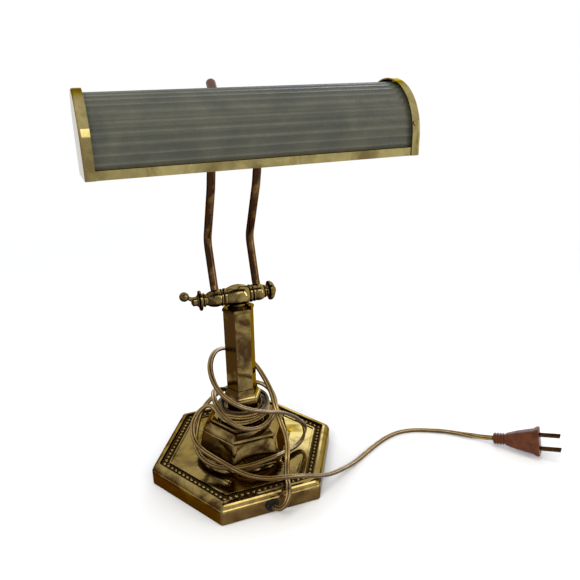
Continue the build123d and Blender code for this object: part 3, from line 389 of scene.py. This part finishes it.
# The channel's bottom gets painted shade: a near-black colour and a duller surface.
for socket, channel_shade_value in (("Base Color", (0.045, 0.028, 0.012, 1)), ("Roughness", (0.6, 0.6, 0.6, 1))):
    cover = n.new("ShaderNodeMix")
    cover.data_type = "RGBA"
    cover.inputs["B"].default_value = channel_shade_value
    link(channel_shade, cover.inputs["Factor"])
    link(shader.inputs[socket].links[0].from_socket, cover.inputs["A"])
    link(cover.outputs["Result"], shader.inputs[socket])
# The lower skirt is painted browner, a painted reflection of a brown floor beside the lamp.
skirt = n.new("ShaderNodeMath")
skirt.operation = "MULTIPLY"
skirt.inputs[1].default_value = REFLECTION_SHARE
link(ramp(n, link, hexagon.outputs["Height"], *REFLECTION_HEIGHTS), skirt.inputs[0])
browner = n.new("ShaderNodeMix")
browner.data_type = "RGBA"
browner.inputs["B"].default_value = PAINTED_REFLECTION_BROWN
link(skirt.outputs[0], browner.inputs["Factor"])
link(shader.inputs["Base Color"].links[0].from_socket, browner.inputs["A"])
link(browner.outputs["Result"], shader.inputs["Base Color"])
nodes["base_shell"].data.materials[0] = beaded_brass
print("beaded border", beaded_brass.name)

# %% [markdown]
# The cord is one flat twin lead. Its line runs from the grommet over the base, twice round
# the column in wide loops, nearly five times round the neck, then back over the base and
# along the floor to the plug. A NURBS curve holds it, and the turns on the neck are worked
# out by a loop.

# %% The cord's line
CORD_WIDTH = 4.6
CORD_THICKNESS = 2.3
GROMMET = (0, -73.01, 8.0)

lead_route = [
    GROMMET,
    (2.2, -79.5, 8.8),
    (6.6, -82.5, 13.6),
    (10.4, -81, 19.6),
    (12.6, -75.5, 23.4),
    (14.6, -67.5, 23),
    (18, -56.5, 21.5),
    (22.5, -45.5, 23.5),
    (26, -38.5, 33),
    (25, -36, 45),
    (21.5, -34, 56.5),
    (20, -27.5, 67.5),
    (20.5, -16, 76),
    (18.5, -3, 83.5),
    (15, 9, 90.5),
    (6, 17.5, 98.5),
    (-5.5, 18.5, 105),
    (-16.5, 12.5, 108.5),
    (-24, 1.5, 108.5),
    (-28.5, -9, 105),
    (-29.5, -20, 99),
    (-26.5, -29, 92),
    (-18.5, -36, 84.5),
    (-7, -41, 78.5),
    (8, -43.5, 74.5),
    (22.5, -39, 68),
    (35, -31, 56.5),
    (43.5, -24, 45),
    (49.3, -19, 36.5),
    (50.2, -18, 29.3),
    (47, -19.6, 23),
    (40.2, -23.4, 20.8),
    (31, -29, 22.5),
    (18.5, -37.5, 26.5),
    (4, -41.5, 27.5),
    (-10, -42.5, 27),
    (-23, -36, 23.5),
    (-34.5, -26, 22.3),
    (-41.5, -13, 23),
    (-43.5, 1, 26),
    (-40, 13, 32.5),
    (-35, 19.5, 42),
    (-29, 22.5, 50.5),
    (-19, 25.5, 57),
    (-6, 28, 61.5),
    (8.5, 26, 65),
    (20.5, 18, 66.5),
    (27, 5.5, 65),
    (26.5, -9, 61),
    (21, -22, 57.5),
    (11, -31.5, 55),
    (-1, -36, 55.5),
    (-12, -35.5, 59),
    (-20.5, -30, 64.5),
    (-26, -20.5, 71),
    (-27, -8, 75.5),
    (-23.5, 4.5, 75),
    (-15.5, 15, 70),
    (-5.5, 19.5, 62),
]

TURNS = 4.8
POINTS_PER_TURN = 16
FIRST_ANGLE = radians(80)
LAST_ANGLE = radians(195) - tau * 5

INNER_RADIUS = 16.2
LAYER_STEP = 2.9
LAYERS = 3
WINDING_TOP = 61.4
WINDING_HEIGHT = 7.4
WOBBLE = 0.5
WOBBLE_RATE = 2.6

winding = []
steps = int(TURNS * POINTS_PER_TURN)
for step in range(steps + 1):
    share = step / steps
    angle = FIRST_ANGLE + (LAST_ANGLE - FIRST_ANGLE) * share
    layer = share * LAYERS
    # Each layer keeps its radius, and steps out in the last eighth of its travel
    radius = INNER_RADIUS + LAYER_STEP * min(2, int(layer) + max(0, (layer % 1) * 8 - 7))
    sweep = layer % 2 if layer % 2 < 1 else 2 - layer % 2
    height = WINDING_TOP - WINDING_HEIGHT * sweep + WOBBLE * sin(WOBBLE_RATE * angle)
    winding.append((radius * cos(angle), radius * sin(angle), height))

run_route = [
    (-22, 1.5, 56.5),
    (-23, 9, 56),
    (-26, 14.0, 55.5),
    (-32, 14.0, 54.5),
    (-38, 9.5, 52.5),
    (-44.5, 2.5, 47.5),
    (-46, -6.5, 39.5),
    (-42, -16, 34.5),
    (-34, -26.5, 31.5),
    (-26.5, -38, 30),
    (-20, -48.5, 29),
    (-12, -58.5, 29),
    (-2, -67, 30.5),
    (8.5, -72, 32.2),
    (21, -73.5, 31),
    (32.5, -72, 26.5),
    (44, -67, 19.5),
    (57, -59.5, 12),
    (71.5, -50.5, 6.2),
    (88, -41.5, 2.3),
    (108, -30, 1.6),
    (127, -20.5, 1.6),
    (145, -15.5, 1.6),
    (161, -17.5, 1.6),
    (175.5, -24.5, 1.8),
    (189, -32.5, 2.1),
    (200.5, -43.5, 2.8),
    (210.6, -54.4, 4.2),
    (218.7, -63.5, 6.6),
]

route = lead_route + winding + run_route
line_data = bpy.data.curves.new("cord line", "CURVE")
line_data.dimensions = "3D"
line_data.resolution_u = 8
spline = line_data.splines.new("NURBS")
spline.points.add(len(route) - 1)
for point, place in zip(spline.points, route):
    point.co = (place[0] * MM, place[1] * MM, place[2] * MM, 1)
spline.order_u = 3
spline.use_endpoint_u = True
line_object = bpy.data.objects.new("cord_line", line_data)
bpy.context.scene.collection.objects.link(line_object)
bpy.context.view_layer.update()
line_mesh = bpy.data.meshes.new_from_object(line_object)
path = np.array([v.co for v in line_mesh.vertices])
bpy.data.objects.remove(line_object)
bpy.data.meshes.remove(line_mesh)

# %% [markdown]
# The twin lead is wide one way and thin the other. Its thin way starts out facing away from
# the column, or up where the cord lies on something, and is then smoothed along the line so
# that it never twists suddenly. At the plug it has to match the plug's own thin way.

# %% The plug's directions
PLUG_LENGTH = 39.5
heading, rise, roll = radians(-49.4), radians(12.7), radians(9.2)
plug_axis = Vector((cos(heading) * cos(rise), sin(heading) * cos(rise), sin(rise)))
level = Vector((-sin(heading), cos(heading), 0))
plug_up = plug_axis.cross(level)
wide_way = plug_up * cos(roll) + level * sin(roll)
thin_way = plug_axis.cross(wide_way)
plug_start = Vector(run_route[-1]) * MM
print("plug points along", [round(part, 3) for part in plug_axis])

# %% [markdown]
# The section is two round wires with a shallow groove between them. It could be a bevel on
# the curve, but a bevel turns with the curve's own twist, so it is placed ring by ring.

# %% The cord's section
NECK_REACH = 0.0245
NECK_TOP = 0.068
PULL = 0.02
SMOOTHING_ROUNDS = 600
POINTS_AT_PLUG = 6
GROOVE_SHARE = 0.55

tangents = np.gradient(path, axis=0)
tangents /= np.linalg.norm(tangents, axis=1)[:, None]


def unit(rows):
    """Each row scaled to length 1."""
    return rows / np.maximum(np.linalg.norm(rows, axis=1), 1e-9)[:, None]


def across(rows):
    """The part of each row that is square to the cord."""
    return rows - (rows * tangents).sum(1)[:, None] * tangents


outward = unit(path * (1, 1, 0))
from_column = np.linalg.norm(path[:, :2], axis=1)
on_neck = np.clip((NECK_REACH - from_column) / 0.001, 0, 1) * (path[:, 2] < NECK_TOP)
on_neck = on_neck[:, None]
wanted = across(outward * on_neck + np.array((0, 0, 1)) * (1 - on_neck))
pull = PULL * np.linalg.norm(wanted, axis=1)[:, None]
end_way = np.array(thin_way if thin_way.z > 0 else -thin_way)
thin = unit(wanted)
for _ in range(SMOOTHING_ROUNDS):
    ahead = np.vstack((thin[1:], thin[-1:]))
    behind = np.vstack((thin[:1], thin[:-1]))
    thin = unit(across((ahead + behind) / 2 + pull * wanted))
    thin[-POINTS_AT_PLUG:] = unit(across(np.tile(end_way, (len(thin), 1))))[-POINTS_AT_PLUG:]
wide = np.cross(tangents, thin)

SECTION_POINTS = 20
section = []
for step in range(SECTION_POINTS):
    turn = tau * step / SECTION_POINTS
    # Two round wires side by side, with a shallow groove between them
    reach = CORD_WIDTH / 2 * cos(turn)
    swell = CORD_THICKNESS / 2
    offset = abs(reach) - swell
    depth = swell * max(0.0, 1 - (offset / swell) ** 2) ** 0.5
    depth = max(depth, GROOVE_SHARE * swell if abs(reach) < swell * 0.5 else depth)
    section.append((reach * MM, (depth if sin(turn) >= 0 else -depth) * MM))

mesh = bmesh.new()
rings = []
for place, side_way, top_way in zip(path, wide, thin):
    rings.append([mesh.verts.new(place + a * side_way + b * top_way) for a, b in section])
across_uv = [0.5 + 0.5 * cos(tau * step / SECTION_POINTS) for step in range(SECTION_POINTS)]
along = np.concatenate(((0.0,), np.cumsum(np.linalg.norm(np.diff(path, axis=0), axis=1))))
uv = mesh.loops.layers.uv.new("cord")
for k, (near, far) in enumerate(zip(rings, rings[1:])):
    for i in range(SECTION_POINTS):
        j = (i + 1) % SECTION_POINTS
        face = mesh.faces.new((near[i], near[j], far[j], far[i]))
        for loop, column, row in zip(face.loops, (i, j, j, i), (k, k, k + 1, k + 1)):
            loop[uv].uv = (across_uv[column], along[row])
mesh.faces.new(rings[0][::-1])
mesh.faces.new(rings[-1])
bmesh.ops.recalc_face_normals(mesh, faces=mesh.faces)
cord_mesh = bpy.data.meshes.new("twin_cord")
mesh.to_mesh(cord_mesh)
mesh.free()
cord_mesh.shade_smooth()
cord_mesh.materials.append(cord_skin)
cord = bpy.data.objects.new("twin_cord", cord_mesh)
bpy.context.scene.collection.objects.link(cord)
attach(cord, "base")
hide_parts("cord_lead", "cord_run", "cord_winding")
print("cord mesh", len(cord_mesh.polygons), "faces")

# %% [markdown]
# The plug is moulded in amber plastic: a ribbed tail, a body that widens to the face, and a
# flange for the fingers. It is skinned from rounded rectangles.

# %% Plug
PLUG_SECTION_POINTS = 32
PLUG_CORNER = 3.0
RIBS = 4
FIRST_RIB = 1.6
RIB_PITCH = 2.5


def rounded(width, depth, corner):
    """Outline of a rounded rectangle, evenly spread by angle."""
    outline = []
    for step in range(PLUG_SECTION_POINTS):
        turn = tau * (step + 0.5) / PLUG_SECTION_POINTS
        side = 1 if cos(turn) > 0 else -1
        top = 1 if sin(turn) > 0 else -1
        outline.append(
            (
                side * (width / 2 - corner) + corner * cos(turn),
                top * (depth / 2 - corner) + corner * sin(turn),
            )
        )
    return outline


stations = [(0.0, 8.4, 7.2), (0.5, 9.4, 8.2)]
for rib in range(RIBS):
    at = FIRST_RIB + rib * RIB_PITCH
    stations += [(at, 9.6, 8.4), (at + 0.35, 8.4, 7.2), (at + 1.1, 8.4, 7.2), (at + 1.45, 9.7, 8.5)]
stations += [
    (12.0, 10.8, 9.2),
    (20.0, 15.4, 10.4),
    (28.0, 18.9, 11.3),
    (PLUG_LENGTH - 5.0, 21.4, 12.0),
    (PLUG_LENGTH - 3.6, 23.4, 12.8),
    (PLUG_LENGTH - 2.0, 24.8, 13.4),
    (PLUG_LENGTH - 0.6, 25.0, 13.5),
    (PLUG_LENGTH, 24.0, 12.5),
]
mesh = bmesh.new()
rings = []
for along, width, depth in stations:
    ring = []
    for a, b in rounded(width, depth, PLUG_CORNER):
        ring.append(mesh.verts.new(plug_start + (plug_axis * along + wide_way * a + thin_way * b) * MM))
    rings.append(ring)
for near, far in zip(rings, rings[1:]):
    for i in range(PLUG_SECTION_POINTS):
        j = (i + 1) % PLUG_SECTION_POINTS
        mesh.faces.new((near[i], near[j], far[j], far[i]))
mesh.faces.new(rings[0][::-1])
mesh.faces.new(rings[-1])
bmesh.ops.recalc_face_normals(mesh, faces=mesh.faces)
plug_mesh = bpy.data.meshes.new("moulded_plug")
mesh.to_mesh(plug_mesh)
mesh.free()
plug_mesh.shade_smooth()
plug_mesh.set_sharp_from_angle(angle=radians(50))
plug_mesh.materials.append(plug_skin)
plug = bpy.data.objects.new("moulded_plug", plug_mesh)
bpy.context.scene.collection.objects.link(plug)
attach(plug, "base")
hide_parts("plug_body")
print("plug", len(plug_mesh.polygons), "faces")

# %% [markdown]
# The floor is pale and keeps the lamp's shadow, and turns to plain white farther out. The
# camera, polished metal and glass all see that white floor and a white background.

# %% Floor and surroundings


FLOOR_SIZE = 12
WHITE_FROM, WHITE_TO = 0.3, 0.9


def background_rays(n, link):
    """1 for the rays that see the background: camera, glossy and transmission rays."""
    rays = n.new("ShaderNodeLightPath")
    seen = rays.outputs["Is Camera Ray"]
    for kind in ("Is Glossy Ray", "Is Transmission Ray"):
        either = n.new("ShaderNodeMath")
        either.operation = "MAXIMUM"
        link(seen, either.inputs[0])
        link(rays.outputs[kind], either.inputs[1])
        seen = either.outputs[0]
    return seen


bpy.ops.mesh.primitive_plane_add(size=FLOOR_SIZE, location=(0, 0, 0))
floor = bpy.context.object
floor.name = "floor"
floor_material = bpy.data.materials.new("pale floor")
floor_material.use_nodes = True
n, link = floor_material.node_tree.nodes, floor_material.node_tree.links.new
plain = n["Principled BSDF"]
plain.inputs["Base Color"].default_value = (0.93, 0.93, 0.93, 1)
plain.inputs["Roughness"].default_value = 0.9
plain.inputs["Specular IOR Level"].default_value = 0.1
place = n.new("ShaderNodeTexCoord")
from_lamp = n.new("ShaderNodeVectorMath")
from_lamp.operation = "LENGTH"
link(place.outputs["Object"], from_lamp.inputs[0])
far_share = n.new("ShaderNodeMath")
far_share.operation = "MULTIPLY"
link(ramp(n, link, from_lamp.outputs["Value"], WHITE_FROM, WHITE_TO), far_share.inputs[0])
link(background_rays(n, link), far_share.inputs[1])
far = n.new("ShaderNodeEmission")
to_white = n.new("ShaderNodeMixShader")
link(far_share.outputs[0], to_white.inputs["Fac"])
link(plain.outputs["BSDF"], to_white.inputs[1])
link(far.outputs["Emission"], to_white.inputs[2])
link(to_white.outputs["Shader"], n["Material Output"].inputs["Surface"])
floor.data.materials.append(floor_material)

world = bpy.data.worlds.new("studio")
bpy.context.scene.world = world
world.use_nodes = True
n, link = world.node_tree.nodes, world.node_tree.links.new
for node in list(n):
    n.remove(node)
white = n.new("ShaderNodeBackground")
white.inputs["Color"].default_value = (1, 1, 1, 1)
soft = n.new("ShaderNodeBackground")
soft.inputs["Color"].default_value = (0.85, 0.86, 0.88, 1)
soft.inputs["Strength"].default_value = 0.85
backdrop = n.new("ShaderNodeMixShader")
out = n.new("ShaderNodeOutputWorld")
link(background_rays(n, link), backdrop.inputs["Fac"])
link(soft.outputs[0], backdrop.inputs[1])
link(white.outputs[0], backdrop.inputs[2])
link(backdrop.outputs[0], out.inputs["Surface"])
print("floor and world", floor.name, world.name)

# %% [markdown]
# A long softbox hangs in front, a window-like one stands at the right back and a strip on the
# right draws lines on the turned pieces. Two more fill in the shade, and metal doesn't show them.

# %% Lights


def softbox(name, place, target, size, power, colour=(1, 1, 1)):
    """Rectangular area light that faces its target."""
    data = bpy.data.lights.new(name, "AREA")
    data.shape = "RECTANGLE"
    data.size, data.size_y = size
    data.energy = power
    data.color = colour
    light = bpy.data.objects.new(name, data)
    bpy.context.scene.collection.objects.link(light)
    light.location = place
    aim = (Vector(target) - Vector(place)).to_track_quat("-Z", "Y")
    light.rotation_euler = aim.to_euler()
    return light


fill_overhead = softbox("fill_overhead", (0.0, -0.1, 1.7), (0, 0, 0), (0.8, 0.5), 5)
fill_left = softbox("fill_left", (-0.6, -0.5, 0.9), (0, 0, 0.2), (0.4, 0.3), 4, (1.0, 0.97, 0.9))
for fill in (fill_overhead, fill_left):
    fill.visible_glossy = False
lights = [
    softbox("long_front", (0.45, -1.37, 1.4), (0, 0, 0.15), (1.1, 0.5), 5, (1.0, 0.96, 0.86)),
    softbox("window_right", (1.16, 1.66, 0.95), (0.05, 0, 0.02), (0.95, 0.95), 10, (0.62, 0.74, 1.0)),
    softbox("strip_right", (0.9, -0.8, 0.5), (0, 0, 0.15), (0.12, 0.9), 2.5, (1.0, 0.95, 0.85)),
    fill_overhead,
    fill_left,
]
print("lights", [light.name for light in lights])

# %% [markdown]
# The camera stands a little left of the lamp's front and looks down at it.

# %% Camera
CAMERA_PLACE = (-0.120212, -0.433288, 0.33866)
camera_data = bpy.data.cameras.new("camera")
camera_data.sensor_width = 36
camera_data.lens = 37.53
camera = bpy.data.objects.new("camera", camera_data)
bpy.context.scene.collection.objects.link(camera)
yaw, pitch, tilt = radians(20.86), radians(21.42), radians(-0.88)
forward = Vector((sin(yaw) * cos(pitch), cos(yaw) * cos(pitch), -sin(pitch)))
right = Vector((cos(yaw), -sin(yaw), 0))
up = right.cross(forward)
turned_right = right * cos(tilt) + up * sin(tilt)
turned_up = up * cos(tilt) - right * sin(tilt)
camera.matrix_world = Matrix.Translation(CAMERA_PLACE) @ (
    Matrix((turned_right, turned_up, -forward)).transposed().to_4x4()
)
bpy.context.scene.camera = camera
bpy.context.scene.view_settings.view_transform = "Standard"
print("camera lens", camera_data.lens)
